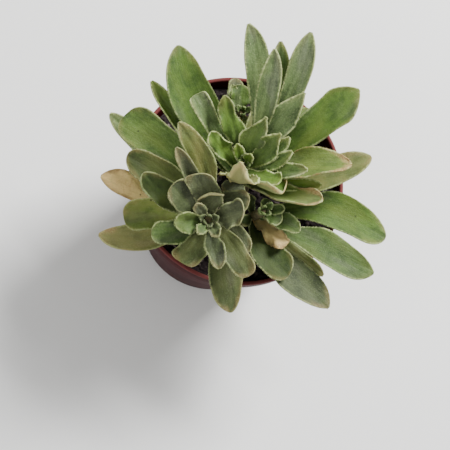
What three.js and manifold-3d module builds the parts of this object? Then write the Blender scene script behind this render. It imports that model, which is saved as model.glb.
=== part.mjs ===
// A tender rosette succulent with leafy stems in a round nursery pot.
// Millimetres, +Z up. The origin is the middle of the pot's underside.
import * as THREE from 'three';
import { mergeVertices } from 'three/addons/utils/BufferGeometryUtils.js';
import Module from 'manifold-3d';

const wasm = await Module();
wasm.setup();

// Driving dimensions
const pot = {
  height: 72,
  rimRadius: 42.5,
  bandHeight: 8,        // the thicker band below the lip
  bandStep: 1.6,        // how far the band stands out from the wall
  bandLean: 0.6,        // how far the band leans in at its foot
  bandUnder: 0.8,       // height of the band's sloping underside
  innerUnder: 1.2,      // the same inside, below the foot of the band
  lip: 1.5,             // width of the rounded lip
  lipDepth: 1.4,        // height over which the lip is rounded
  lipCorner: { wide: 0.2, high: 0.4 },
  wall: 1.2,
  baseRadius: 30,
  baseRound: 1.2,
  floor: 3.4,           // height of the inner floor
  floorCorner: { wide: 0.6, high: 1 },
  padRadius: 13,        // flat pad in the middle of the underside
  footWidth: 4,         // flat ring under the wall
  recess: 2.2,          // depth of the drainage groove
  recessSlope: 1,       // how far each side of the groove leans
  sides: 40,
};
const drain = { count: 8, radius: 2.5, ring: 19.5, sides: 8 };
const soil = {
  top: 67,
  gap: 0.5,             // clearance to the pot
  relief: 1.1,          // height of the lumps
  lumps: { broad: [0.55, 0.48], slant: [0.9, -0.7], fine: [1.3, 0.8], shares: [1, 0.6, 0.4] },
  shoulder: 0.2,        // how far its step is below the pot's inner step
  foot: { wide: 0.8, high: 0.8 },
  rings: 7,
  sides: 30,
};
const stem = {
  sides: 8,
  below: 14,            // how far it goes down under its foot, into the soil
  above: 1,             // how far it goes up into the heart
  taper: 0.8,           // radius at the top, as a share of the foot's
  hole: 0.5,            // clearance of its hole in the soil
};
const blade = {
  margin: 0.6,          // thickness at the edge of a leaf
  rib: 1.7,             // thickness along the middle
  smallRib: 1.3,        // the same in a small leaf
  widest: 0.68,         // share of the length where a leaf is widest
  neck: 0.3,            // width at the root, as a share of the widest
  tipHalf: 0.45,        // half width left at the very tip
  ruffle: 0.45,         // height of the waves along the edges
  waves: 2.4,           // how many of them run along a leaf
  uneven: 0.09,         // how much the outline wanders, as a share of the half width
  wander: [7, 15],      // how fast it wanders along the leaf, slow wave and quick wave
  sunk: 0.5,            // where a leaf starts, as a share of the stem's radius from its axis
  smallWidth: 8.5,      // a narrower leaf gets fewer stations
  stations: { along: 7, across: 4 },
  smallStations: { along: 5, across: 2 },
};
const hearts = { goldenAngle: 137.5, shrink: 0.1, lift: 7, point: 0.9, cup: 70 };
const rad = THREE.MathUtils.degToRad;
const smooth = (x) => THREE.MathUtils.smoothstep(x, 0, 1);

// One row for a leaf: where along the stem it grows (0 foot, 1 top), the direction that it
// leaves the stem in and how far that swings by the tip, its rise above the plane square to
// the stem and how far it droops, its length and width, and how pointed it is. The extras are
// the arc of its section, how far the tip curls up, its twist, how late it widens, how far its
// tip leans to one side, its share of the waves and of the uneven outline, and the share of
// its length where it is widest.
// Degrees and millimetres.
const plain = {
  cup: 50, curl: 0, roll: 0, spoon: 1, skew: 0, ruffle: 1, jag: 1, widest: blade.widest,
};
const leaf = (from, turn, veer, rise, droop, long, wide, point, extras = {}) =>
  ({ from, turn, veer, rise, droop, long, wide, point, ...plain, ...extras });

// The leafy stems: foot at the soil, top under the heart, and leaves from the lowest up
const leafyStems = {
  rosette_front: {
    foot: [-10, -12, 64], top: [-17, -25, 101], radius: 2.6, colour: 0x78835a,
    heart: { count: 5, long: 5, wide: 2.8, rise: 58, turn: 20 },
    leaves: [
      leaf(0.25, 134, 4, 14, 20, 53, 9, 0.6),
      leaf(0.40, 115, 20, 18, 25, 49.5, 15.5, -0.6, { spoon: 1.3, skew: 0.7, widest: 0.74 }),
      leaf(0.45, 210, -39, 16, 20, 42, 11, 0.8),
      leaf(0.50, 290, -7, 24, 25, 36.5, 13, 0.8, { spoon: 1.1, skew: -0.15 }),
      leaf(0.50, 135, 23, 20, 25, 37.5, 12, 0.2, { skew: -0.2 }),
      leaf(0.60, 171, 23, 20, 20, 31, 12, -0.5),
      leaf(0.60, -18, -45, 35, 15, 21, 7, 0.2),
      leaf(0.70, -46, -14, 28, 20, 26, 9, -0.4, { ruffle: 1.4 }),
      leaf(0.75, 247, -7, 25, 20, 18.5, 10.5, -1.4, { skew: -0.2 }),
      leaf(0.75, 159, -27, 30, 20, 30, 10, 0.5),
      leaf(0.80, 209, -28, 28, 20, 21.5, 9, -0.2),
      leaf(0.80, 85, 44, 28, 12, 39.5, 8.5, 0.7, { skew: 0.2 }),
      leaf(0.80, 49, -46, 25, 10, 17, 9, 0.1),
      leaf(0.85, 284, 2, 32, 20, 18.5, 7.5, 0.7, { cup: 90, ruffle: 2.0, jag: 1.6 }),
      leaf(0.85, 109, 12, 30, 10, 30, 7, 0.5, { cup: 140 }),
      leaf(0.90, 138, 4, 35, 15, 19, 9.5, -1.0, { skew: -0.2 }),
      leaf(0.90, 95, 4, 38, 10, 19, 10.5, -2.2, { skew: 0.3, ruffle: 1.6 }),
      leaf(0.95, 187, 0, 40, 15, 13, 8, 0.8),
      leaf(0.95, 18, -22, 38, 10, 14, 10, -1.8, { cup: 70, skew: 0.3, ruffle: 1.8 }),
      leaf(0.98, 79, 31, 30, 0, 11.5, 9.5, -2.0, { curl: 60, ruffle: 1.4 }),
      leaf(1.00, 125, 0, 55, 5, 10, 4, 0.1),
      leaf(1.00, 237, -5, 55, 5, 7.5, 4, 0.9),
      leaf(1.00, -50, -16, 55, 5, 9, 5, 0.2, { cup: 110, ruffle: 1.8 }),
    ],
  },
  rosette_back: {
    foot: [3, -2, 64], top: [-4, -4, 100], radius: 2.6, colour: 0x6f8e4a,
    heart: { count: 5, long: 5, wide: 2.6, rise: 58, turn: 80 },
    leaves: [
      leaf(0.30, 137, -6, 25, 25, 48, 7, 0.5),
      leaf(0.30, 44, 10, 10, 14, 38, 11, 0.5),
      leaf(0.35, 76, -6, 14, 16, 34, 10, 0.5),
      leaf(0.40, 12, -6, 14, 16, 30, 10, 0.5),
      leaf(0.40, -10, 38, 18, 20, 50, 12, 0.6),
      leaf(0.45, 151, -31, 30, 24, 51, 8, 0.6, { cup: 120, ruffle: 2 }),
      leaf(0.50, 135, -34, 32, 22, 56, 17, 0.8, { spoon: 1.3 }),
      leaf(0.50, 54, 38, 38, 20, 54.5, 8, 0.8, { spoon: 2, widest: 0.76 }),
      leaf(0.60, 64, 47, 42, 20, 59, 9.5, 0.9, { spoon: 2.2, widest: 0.78 }),
      leaf(0.60, 48, 28, 38, 20, 60, 9.5, 0.8, { spoon: 2.4, widest: 0.78 }),
      leaf(0.60, 26, 9, 30, 22, 54, 14.5, 1.0, { spoon: 1.5, skew: 0.35, widest: 0.82 }),
      leaf(0.60, -21, 22, 22, 15, 30, 5, 0.6),
      leaf(0.60, 246, -24, 30, 10, 11, 9, 0.2),
      leaf(0.70, 5, -8, 24, 20, 40.5, 13, 0.8, { cup: 100, roll: -12, ruffle: 1.8 }),
      leaf(0.50, -39, 37, 31, 18, 34, 10, 0.0, { cup: 130, roll: -20, ruffle: 1.4 }),
      leaf(0.75, 61, 25, 45, 18, 49, 8.5, 0.9, { spoon: 1.8, widest: 0.74, ruffle: 1.5 }),
      leaf(0.80, 52, 3, 40, 16, 37.5, 11.5, 1.2, { spoon: 1.5, skew: -0.6, ruffle: 1.5 }),
      leaf(0.80, 131, -10, 40, 16, 34, 8, -4, { cup: 120, ruffle: 1.8, widest: 0.85 }),
      leaf(0.90, 153, -34, 45, 10, 19.5, 7, 0.3, { cup: 70, ruffle: 2.4, jag: 2.5 }),
      leaf(0.92, 262, 0, 50, -84, 29, 10.5, 1.1,
        { cup: 45, spoon: 0.6, ruffle: 3, jag: 2.5, widest: 0.55 }),
      leaf(0.90, 105, 4, 45, 12, 29, 7.5, 0.8, { ruffle: 2.4, jag: 3 }),
      leaf(0.88, 208, -18, 30, -20, 10, 5, 1.3, { cup: 40, spoon: 0.6, roll: 70 }),
      leaf(0.90, 7, 43, 40, 15, 22, 5, 0.7),
      leaf(0.90, -9, 43, 38, 10, 21, 5, 0.7),
      leaf(0.88, -50, 27, 36, 12, 20, 13.5, -2.4, { cup: 170, roll: -42, ruffle: 1 }),
      leaf(0.97, -45, 33, 40, 10, 18, 6.5, -1.5, { cup: 60, roll: -25, ruffle: 1, jag: 0.4 }),
      leaf(0.95, 69, -11, 48, 10, 22, 9.5, 1.3, { skew: -0.2, widest: 0.6 }),
      leaf(0.95, 19, 20, 48, 10, 21, 9, 1.2, { ruffle: 1.4, skew: 0.3, jag: 0.3 }),
      leaf(0.85, -13, 11, 36, 12, 26, 7, 0.8, { cup: 90 }),
      leaf(1.00, 41, 12, 65, 0, 7, 4, 0.8),
      leaf(1.00, 113, -17, 50, 0, 9, 4, 0.8),
    ],
  },
  rosette_right: {
    foot: [3, -15, 64], top: [5.5, -18, 90], radius: 2, colour: 0x5f8350,
    heart: { count: 5, long: 5, wide: 2.6, rise: 58, turn: 50 },
    leaves: [
      leaf(0.25, -39, 6, 20, 22, 36, 6.5, 0.6),
      leaf(0.30, 19, -42, 22, 22, 56, 15, 0.4, { spoon: 1.7, skew: -0.6 }),
      leaf(0.35, -61, 18, 22, 22, 46, 14, 0.95, { spoon: 1.3, skew: 0.3, widest: 0.72 }),
      leaf(0.50, -27, 12, 25, 22, 50, 13.5, 0.8, { spoon: 1.5, skew: -0.5, widest: 0.72 }),
      leaf(0.50, 275, 45, 25, 15, 27.5, 13, 0.1),
      leaf(0.55, 304, 20, 50, 42, 18, 7.5, -0.6, { cup: -60, spoon: 0.7, ruffle: 6, jag: 2.5 }),
      leaf(0.80, -13, -28, 30, 10, 16.5, 7, 0.7),
      leaf(0.60, 120, 20, 35, 10, 9, 5, 0.5),
      leaf(0.60, 205, 20, 35, 10, 8, 4.5, 0.5),
      leaf(0.90, 60, 10, 15, 10, 5, 4.5, 0.6),
      leaf(0.95, -31, 2, 40, 5, 8, 6, 0.3),
      leaf(0.95, 18, -31, 45, 5, 8.5, 4, 0.3),
    ],
  },
  rosette_far: {
    foot: [0, 25, 64], top: [0, 25.5, 77], radius: 1.6, colour: 0x688c46,
    heart: { count: 4, long: 4.5, wide: 2.4, rise: 56, turn: 10 },
    leaves: [
      leaf(0.60, 108, -24, 22, 10, 15, 7, 0.4),
      leaf(0.90, 124, -24, 30, 10, 11.5, 4.5, 0.8, { cup: 90 }),
      leaf(0.90, 98, -12, 34, 10, 11, 10, 0.8, { ruffle: 1.6, jag: 2 }),
      leaf(0.90, -62, 5, 25, 0, 8, 6, 0.2, { cup: 90, ruffle: 1.6 }),
      leaf(0.70, 170, 10, 20, 10, 7, 5, 0.6),
    ],
  },
};
// A dried leaf that has dropped on to the rim
const witheredLeaf = {
  foot: [-17.5, -12.3, 68.8], top: [-17.5, -12.3, 80], radius: 0, colour: 0xc9a868,
  leaf: leaf(0, 165.5, 1, 14.5, 10, 38.5, 11, 0.7, { cup: 30 }),
};
const barkChip = {
  at: [-6, 33, 69.5], size: [7, 4.5, 3], detail: 2, colour: 0x2d2626,
  bumps: { height: 0.08, lengthwise: 5, upright: 4 },
};
const look = {
  pot: { colour: 0x3a1d1b, roughness: 0.45 },
  soil: { colour: 0x2e2724, roughness: 0.95 },
  bark: 0.9,
  leaf: 0.7,
  withered: 0.8,
};

// Turns a closed geometry into a solid that can be joined and cut
function solidOf(geometry) {
  const bare = geometry.clone();
  bare.deleteAttribute('normal');
  bare.deleteAttribute('uv');
  const welded = mergeVertices(bare, 1e-4);
  return new wasm.Manifold(new wasm.Mesh({
    numProp: 3,
    vertProperties: new Float32Array(welded.attributes.position.array),
    triVerts: new Uint32Array(welded.index.array),
  }));
}

// Gives a solid back as a geometry, keeping its main body only
function geometryOf(solid) {
  const bodies = solid.decompose().sort((a, b) => b.volume() - a.volume());
  const { vertProperties, triVerts } = bodies[0].getMesh();
  const geometry = new THREE.BufferGeometry();
  geometry.setAttribute('position', new THREE.BufferAttribute(new Float32Array(vertProperties), 3));
  geometry.setIndex(new THREE.BufferAttribute(new Uint32Array(triVerts), 1));
  geometry.computeVertexNormals();
  return geometry;
}

const part = new THREE.Group();
function addPart(name, geometry, colour, roughness) {
  const material = new THREE.MeshStandardMaterial({
    color: colour, roughness, metalness: 0, flatShading: true,
  });
  const mesh = new THREE.Mesh(geometry, material);
  mesh.name = name;
  part.add(mesh);
}

// The turn that takes +Z to the direction from foot to top
function axisTurn(foot, top) {
  const axis = new THREE.Vector3(...top).sub(new THREE.Vector3(...foot)).normalize();
  return new THREE.Quaternion().setFromUnitVectors(new THREE.Vector3(0, 0, 1), axis);
}

// Half width of a leaf at the share u of its length: it widens from the neck as a power of a
// smooth step, then closes to the tip as a power curve that is an ellipse for point 0, a spear
// for point 1 and a blunt end below 0
function halfWidth(shape, u) {
  const { widest } = shape;
  if (u < widest) {
    const grow = smooth(u / widest) ** shape.spoon;
    return shape.wide / 2 * (blade.neck + (1 - blade.neck) * grow);
  }
  const s = (u - widest) / (1 - widest);
  const power = 2.2 - 0.9 * shape.point;
  const half = shape.wide / 2 * Math.max(1 - s ** power, 0) ** (1 / power);
  return Math.max(half, blade.tipHalf);
}

// The share by which the outline stands out at u, from two slow waves that differ leaf by leaf
function outlineShare(shape, u, v, seed) {
  const [slow, quick] = blade.wander;
  const wander = v * Math.sin(slow * u + 2.1 * seed)
    + 0.7 * v * v * Math.sin(quick * u + 3.7 * seed);
  return 1 + shape.jag * blade.uneven * smooth(u / 0.3) * wander;
}

// The middle line of a leaf at the shares in stations, in the frame of its stem: small steps
// along a direction whose rise and turn change with u, and the side and face directions there
function middleLine(shape, stations) {
  const steps = 60;
  const place = new THREE.Vector3();
  const line = [];
  const directionAt = (u) => {
    const rise = rad(shape.rise - shape.droop * u ** 1.5 + shape.curl * smooth((u - 0.6) / 0.4));
    const turn = rad(shape.turn + shape.veer * u);
    const along = new THREE.Vector3(Math.cos(turn), Math.sin(turn), 0)
      .multiplyScalar(Math.cos(rise));
    along.z = Math.sin(rise);
    const side = new THREE.Vector3(-Math.sin(turn), Math.cos(turn), 0);
    const face = along.clone().cross(side);
    const twist = rad(shape.roll) * smooth(u / 0.4);
    side.applyAxisAngle(along, twist);
    face.applyAxisAngle(along, twist);
    return { along, side, face };
  };
  let done = 0;
  for (const u of stations) {
    for (; done < Math.round(u * steps); done += 1) {
      place.addScaledVector(directionAt((done + 0.5) / steps).along, shape.long / steps);
    }
    line.push({ place: place.clone(), ...directionAt(u) });
  }
  return line;
}

// A leaf as a closed blade: an arc across, thick along the rib and thin at the waved edges,
// split into the same triangles on both faces
function bladeGeometry(shape, seed) {
  const small = shape.wide < blade.smallWidth;
  const { along, across } = small ? blade.smallStations : blade.stations;
  const stations = Array.from({ length: along + 1 }, (_, i) => 1 - (1 - i / along) ** 1.5);
  const line = middleLine(shape, stations);
  const rib = small ? blade.smallRib : blade.rib;
  const points = [];
  for (const [i, u] of stations.entries()) {
    const { place, side, face } = line[i];
    const arc = rad(shape.cup) * (0.6 + 0.4 * smooth(u / 0.5));
    const lean = shape.skew * shape.wide / 2 * smooth((u - 0.45) / 0.55);
    for (let j = 0; j <= across; j += 1) {
      const v = -1 + 2 * j / across;
      const half = halfWidth(shape, u) * outlineShare(shape, u, v, seed);
      const bend = half / (arc / 2);
      const angle = v * arc / 2;
      const wave = shape.ruffle * blade.ruffle * v * v * Math.min(1, half / 3)
        * Math.sin(2 * Math.PI * blade.waves * u + 1.3 * v + seed);
      const middle = place.clone()
        .addScaledVector(side, lean + bend * Math.sin(angle))
        .addScaledVector(face, bend * (1 - Math.cos(angle)) + wave);
      const normal = face.clone().multiplyScalar(Math.cos(angle));
      normal.addScaledVector(side, -Math.sin(angle));
      const thick = blade.margin + (rib - blade.margin) * (1 - v * v) * (1 - 0.5 * u * u);
      points.push(middle.clone().addScaledVector(normal, thick / 2));
      points.push(middle.clone().addScaledVector(normal, -thick / 2));
    }
  }
  const upper = (i, j) => 2 * (i * (across + 1) + j);
  const lower = (i, j) => upper(i, j) + 1;
  const index = [];
  const quad = (a, b, c, d) => index.push(a, b, c, a, c, d);
  for (let i = 0; i < along; i += 1) {
    for (let j = 0; j < across; j += 1) {
      quad(upper(i, j), upper(i + 1, j), upper(i + 1, j + 1), upper(i, j + 1));
      index.push(lower(i, j), lower(i + 1, j + 1), lower(i + 1, j));
      index.push(lower(i, j), lower(i, j + 1), lower(i + 1, j + 1));
    }
    quad(upper(i, 0), lower(i, 0), lower(i + 1, 0), upper(i + 1, 0));
    quad(upper(i, across), upper(i + 1, across), lower(i + 1, across), lower(i, across));
  }
  for (let j = 0; j < across; j += 1) {
    quad(upper(0, j), upper(0, j + 1), lower(0, j + 1), lower(0, j));
    quad(upper(along, j), lower(along, j), lower(along, j + 1), upper(along, j + 1));
  }
  const geometry = new THREE.BufferGeometry();
  const numbers = points.flatMap((p) => p.toArray());
  geometry.setAttribute('position', new THREE.Float32BufferAttribute(numbers, 3));
  geometry.setIndex(index);
  return geometry;
}

// Puts a leaf on its stem
function placedBlade(plant, shape, seed) {
  const root = new THREE.Vector3(...plant.foot).lerp(new THREE.Vector3(...plant.top), shape.from);
  const start = blade.sunk * plant.radius;
  const geometry = bladeGeometry(shape, seed);
  const turn = rad(shape.turn);
  geometry.translate(start * Math.cos(turn), start * Math.sin(turn), 0);
  geometry.applyQuaternion(axisTurn(plant.foot, plant.top));
  return geometry.translate(root.x, root.y, root.z);
}

// A stem from under its foot to just over its top, larger by spare where it cuts its own hole
function stemGeometry(plant, spare) {
  const foot = new THREE.Vector3(...plant.foot);
  const top = new THREE.Vector3(...plant.top);
  const below = stem.below + spare;
  const long = foot.distanceTo(top) + below + stem.above;
  const geometry = new THREE.CylinderGeometry(
    plant.radius * stem.taper + spare, plant.radius + spare, long, stem.sides);
  geometry.rotateX(Math.PI / 2);
  geometry.translate(0, 0, long / 2 - below);
  geometry.applyQuaternion(axisTurn(plant.foot, plant.top));
  return geometry.translate(foot.x, foot.y, foot.z);
}

// A stem with all its leaves and the tiny leaves of its heart, which follow the golden angle
function leafyStem(plant) {
  const { heart } = plant;
  const solids = [solidOf(stemGeometry(plant, 0))];
  plant.leaves.forEach((shape, k) => solids.push(solidOf(placedBlade(plant, shape, 1.7 * k))));
  for (let k = 0; k < heart.count; k += 1) {
    const share = 1 - hearts.shrink * k;
    const turn = heart.turn + hearts.goldenAngle * k;
    const tiny = leaf(1, turn, 0, heart.rise + hearts.lift * k, 0,
      heart.long * share, heart.wide * share, hearts.point, { cup: hearts.cup });
    solids.push(solidOf(placedBlade(plant, tiny, k)));
  }
  return geometryOf(wasm.Manifold.union(solids));
}

// The pot: one profile turned round the axis, with the drainage holes cut through its floor
function potGeometry() {
  const { height, rimRadius, wall, lip, bandLean, lipDepth, lipCorner, floorCorner } = pot;
  const bandBottom = height - pot.bandHeight;
  const wallTop = rimRadius - pot.bandStep - bandLean;
  const inside = rimRadius - lip;
  const profile = [
    [0, 0], [pot.padRadius, 0], [pot.padRadius + pot.recessSlope, pot.recess],
    [pot.baseRadius - pot.footWidth - pot.recessSlope, pot.recess],
    [pot.baseRadius - pot.footWidth, 0], [pot.baseRadius - pot.baseRound, 0],
    [pot.baseRadius, pot.baseRound], [wallTop, bandBottom - pot.bandUnder],
    [rimRadius - bandLean, bandBottom], [rimRadius, height - lipDepth],
    [rimRadius - lipCorner.wide, height - lipCorner.high], [rimRadius - lip / 2, height],
    [inside + lipCorner.wide, height - lipCorner.high], [inside, height - lipDepth],
    [inside - bandLean, bandBottom + lipCorner.high],
    [wallTop - wall, bandBottom - pot.innerUnder],
    [pot.baseRadius - wall + floorCorner.wide, pot.floor + floorCorner.high],
    [pot.baseRadius - wall - floorCorner.wide, pot.floor], [0, pot.floor],
  ];
  const turned = new THREE.LatheGeometry(profile.map(([r, z]) => new THREE.Vector2(r, z)), pot.sides);
  turned.rotateX(Math.PI / 2);
  let solid = solidOf(turned);
  for (let k = 0; k < drain.count; k += 1) {
    const angle = 2 * Math.PI * (k + 0.5) / drain.count;
    const cutter = new THREE.CylinderGeometry(drain.radius, drain.radius, 3 * pot.floor, drain.sides);
    cutter.rotateX(Math.PI / 2);
    cutter.translate(drain.ring * Math.cos(angle), drain.ring * Math.sin(angle), 0);
    solid = solid.subtract(solidOf(cutter));
  }
  return geometryOf(solid);
}

// Height of the soil's surface: three crossed waves of different length, added up
function soilHeight(x, y) {
  const { broad, slant, fine, shares } = soil.lumps;
  const lumps = shares[0] * Math.sin(broad[0] * x + 1.1) * Math.cos(broad[1] * y)
    + shares[1] * Math.sin(slant[0] * y + slant[1] * x)
    + shares[2] * Math.cos(fine[0] * x + fine[1] * y);
  return soil.top + soil.relief * lumps / 2;
}

// The soil: rings of the lumpy top, then the tapered side and the flat underside
function soilGeometry() {
  const bandBottom = pot.height - pot.bandHeight;
  const topRadius = pot.rimRadius - pot.bandLean - pot.lip - soil.gap;
  const shoulder = pot.rimRadius - pot.bandStep - pot.bandLean - pot.wall - soil.gap;
  const lowRadius = pot.baseRadius - pot.wall - pot.floorCorner.wide - soil.gap;
  const bottom = pot.floor + soil.gap;
  const points = [[0, 0, soilHeight(0, 0)]];
  const ring = (radius, height) => {
    for (let k = 0; k < soil.sides; k += 1) {
      const angle = 2 * Math.PI * k / soil.sides;
      const x = radius * Math.cos(angle);
      const y = radius * Math.sin(angle);
      points.push([x, y, height ?? soilHeight(x, y)]);
    }
  };
  for (let i = 1; i <= soil.rings; i += 1) ring(topRadius * i / soil.rings);
  ring(shoulder, bandBottom - pot.innerUnder - soil.shoulder);
  ring(lowRadius, bottom + soil.foot.high);
  ring(lowRadius - soil.foot.wide, bottom);
  points.push([0, 0, bottom]);
  const rings = soil.rings + 3;
  const at = (i, k) => 1 + (i - 1) * soil.sides + k % soil.sides;
  const index = [];
  for (let k = 0; k < soil.sides; k += 1) {
    index.push(0, at(1, k), at(1, k + 1));
    for (let i = 1; i < rings; i += 1) {
      index.push(at(i, k), at(i + 1, k), at(i + 1, k + 1));
      index.push(at(i, k), at(i + 1, k + 1), at(i, k + 1));
    }
    index.push(points.length - 1, at(rings, k + 1), at(rings, k));
  }
  const geometry = new THREE.BufferGeometry();
  geometry.setAttribute('position', new THREE.Float32BufferAttribute(points.flat(), 3));
  geometry.setIndex(index);
  let solid = solidOf(geometry);
  for (const plant of Object.values(leafyStems)) {
    solid = solid.subtract(solidOf(stemGeometry(plant, stem.hole)));
  }
  return geometryOf(solid);
}

// A lump of bark on the soil: a ball pushed in and out by a formula, then stretched
function barkChipGeometry() {
  const { bumps } = barkChip;
  const geometry = new THREE.IcosahedronGeometry(1, barkChip.detail);
  const position = geometry.attributes.position;
  for (let k = 0; k < position.count; k += 1) {
    const p = new THREE.Vector3().fromBufferAttribute(position, k);
    const bump = 1 + bumps.height * Math.sin(bumps.lengthwise * p.x + 2 * p.y)
      * Math.cos(bumps.upright * p.z + p.y);
    position.setXYZ(k, p.x * bump, p.y * bump, p.z * bump);
  }
  geometry.scale(...barkChip.size.map((s) => s / 2)).translate(...barkChip.at);
  return geometryOf(solidOf(geometry));
}

addPart('pot', potGeometry(), look.pot.colour, look.pot.roughness);
addPart('soil', soilGeometry(), look.soil.colour, look.soil.roughness);
addPart('bark_chip', barkChipGeometry(), barkChip.colour, look.bark);
for (const [name, plant] of Object.entries(leafyStems)) {
  addPart(name, leafyStem(plant), plant.colour, look.leaf);
}
const witheredBlade = placedBlade(witheredLeaf, witheredLeaf.leaf, 2);
addPart('withered_leaf', geometryOf(solidOf(witheredBlade)), witheredLeaf.colour, look.withered);

export default part;
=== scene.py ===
import bpy
import numpy as np
from mathutils import Matrix, Vector


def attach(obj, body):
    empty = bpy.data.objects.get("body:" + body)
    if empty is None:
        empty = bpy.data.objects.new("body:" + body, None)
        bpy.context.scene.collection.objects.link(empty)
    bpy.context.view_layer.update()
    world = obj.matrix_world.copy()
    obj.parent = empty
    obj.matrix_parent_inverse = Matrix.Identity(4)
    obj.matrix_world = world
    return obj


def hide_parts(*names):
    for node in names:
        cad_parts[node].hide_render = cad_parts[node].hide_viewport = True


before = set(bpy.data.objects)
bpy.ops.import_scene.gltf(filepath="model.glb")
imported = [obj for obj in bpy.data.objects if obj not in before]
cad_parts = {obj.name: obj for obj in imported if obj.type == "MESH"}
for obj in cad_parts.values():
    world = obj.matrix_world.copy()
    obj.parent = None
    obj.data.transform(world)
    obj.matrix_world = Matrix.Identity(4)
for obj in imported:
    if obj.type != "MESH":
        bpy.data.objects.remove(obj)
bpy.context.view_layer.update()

mm = 0.001

# Small helpers for meshes

def smoothStep(x):
    # 3x^2 - 2x^3 between 0 and 1
    x = np.clip(x, 0.0, 1.0)
    return x * x * (3.0 - 2.0 * x)

def unit(vectors):
    # each vector divided by its length
    return vectors / np.maximum(np.linalg.norm(vectors, axis=-1, keepdims=True), 1e-12)

def ringAngles(count):
    # equal steps round a circle, from 0
    return 2 * np.pi * np.arange(count) / count

def around(radius, angle, height):
    # points at a radius, at an angle round Z and at a height
    x, y = radius * np.cos(angle), radius * np.sin(angle)
    return np.stack(np.broadcast_arrays(x, y, height), -1)

def latticeNoise(x, y, seed, cells=64):
    # value noise: seeded random heights on a lattice, blended with a smooth step
    heights = np.random.default_rng(seed).random((cells, cells)) * 2.0 - 1.0
    x0, y0 = np.floor(x).astype(int), np.floor(y).astype(int)
    fx, fy = smoothStep(x - x0), smoothStep(y - y0)
    at = lambda i, j: heights[i % cells, j % cells]
    low = at(x0, y0) * (1 - fx) + at(x0 + 1, y0) * fx
    high = at(x0, y0 + 1) * (1 - fx) + at(x0 + 1, y0 + 1) * fx
    return low * (1 - fy) + high * fy

def gridFaces(rows, columns):
    # quads between neighbouring rows of a grid, whose columns close on themselves
    i, j = columns * np.arange(rows - 1)[:, None], np.arange(columns)[None, :]
    k = (j + 1) % columns
    return np.stack([i + j, i + k, i + columns + k, i + columns + j], -1).reshape(-1, 4)

def tubeFaces(rows, ring, flip=False):
    # quads of a tube of rings, and a fan of triangles at each end, from the two points that come
    # after the rings: the first end's, then the last one's
    k = np.arange(ring)
    after, last = (k + 1) % ring, (rows - 1) * ring
    first = np.stack([np.full(ring, rows * ring), after, k], -1)
    final = np.stack([np.full(ring, rows * ring + 1), last + k, last + after], -1)
    quads, fans = gridFaces(rows, ring), np.vstack([first, final])
    return (quads[:, ::-1], fans[:, ::-1]) if flip else (quads, fans)

def closedTube(points):
    # a grid of points as one list, with the middles of its first and last rings after it
    return np.vstack([points.reshape(-1, 3), points[0].mean(0), points[-1].mean(0)])

def makePiece(name, points, quads=None, triangles=None, values=None, smooth=True):
    # one mesh object from points in mm and faces, with named numbers on its points
    mesh = bpy.data.meshes.new(name)
    quads = np.zeros((0, 4), int) if quads is None else quads
    triangles = np.zeros((0, 3), int) if triangles is None else triangles
    corners = np.concatenate([quads.ravel(), triangles.ravel()]).astype(np.int32)
    sizes = np.concatenate([np.full(len(quads), 4), np.full(len(triangles), 3)])
    mesh.vertices.add(len(points))
    mesh.vertices.foreach_set("co", (np.asarray(points) * mm).astype(np.float32).ravel())
    mesh.loops.add(len(corners))
    mesh.loops.foreach_set("vertex_index", corners)
    mesh.polygons.add(len(sizes))
    mesh.polygons.foreach_set("loop_start", (np.cumsum(sizes) - sizes).astype(np.int32))
    mesh.polygons.foreach_set("loop_total", sizes.astype(np.int32))
    mesh.update(calc_edges=True)
    for key, numbers in (values or {}).items():
        layer = mesh.attributes.new(key, "FLOAT", "POINT")
        layer.data.foreach_set("value", np.asarray(numbers, np.float32))
    mesh.polygons.foreach_set("use_smooth", np.full(len(sizes), smooth))
    piece = bpy.data.objects.new(name, mesh)
    bpy.context.scene.collection.objects.link(piece)
    return piece

class Bunch:
    # gathers many small closed shapes, whose faces count on from each other, into one piece
    def __init__(self):
        self.points, self.quads, self.triangles, self.values, self.count = [], [], [], {}, 0

    def add(self, points, quads=None, triangles=None, **values):
        if quads is not None:
            self.quads.append(quads + self.count)
        if triangles is not None:
            self.triangles.append(triangles + self.count)
        self.points.append(points)
        for key, value in values.items():
            self.values.setdefault(key, []).append(np.broadcast_to(value, len(points)))
        self.count += len(points)

    def finish(self, name, smooth=True):
        quads = np.concatenate(self.quads) if self.quads else None
        triangles = np.concatenate(self.triangles) if self.triangles else None
        values = {key: np.concatenate(parts) for key, parts in self.values.items()}
        return makePiece(name, np.concatenate(self.points), quads, triangles, values, smooth)

def dress(piece, nodes, material):
    # puts a piece on the part's one body, in place of its CAD nodes, with its finish
    piece.data.materials.append(material)
    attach(piece, "root")
    if nodes:
        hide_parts(*nodes)

# Shader maths as Python expressions

class Shade:
    # a node's output in a finish, on which an expression adds its Math nodes
    def __init__(self, finish, socket):
        self.finish, self.socket = finish, socket

    def math(self, operation, first, second):
        return self.finish.node("Math", {"operation": operation}, i0=first, i1=second)

    def __add__(self, other): return self.math("ADD", self, other)
    def __radd__(self, other): return self.math("ADD", other, self)
    def __mul__(self, other): return self.math("MULTIPLY", self, other)
    def __rmul__(self, other): return self.math("MULTIPLY", other, self)
    def __sub__(self, other): return self.math("SUBTRACT", self, other)
    def __rsub__(self, other): return self.math("SUBTRACT", other, self)
    def __pow__(self, other): return self.math("POWER", self, other)
    def atMost(self, other): return self.math("MINIMUM", self, other)

    def step(self, low, high):
        # smooth 0 to 1 as the value goes from low to high
        return self.finish.node("MapRange", {"interpolation_type": "SMOOTHSTEP"}, out="Result",
                                Value=self, From_Min=low, From_Max=high)

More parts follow.
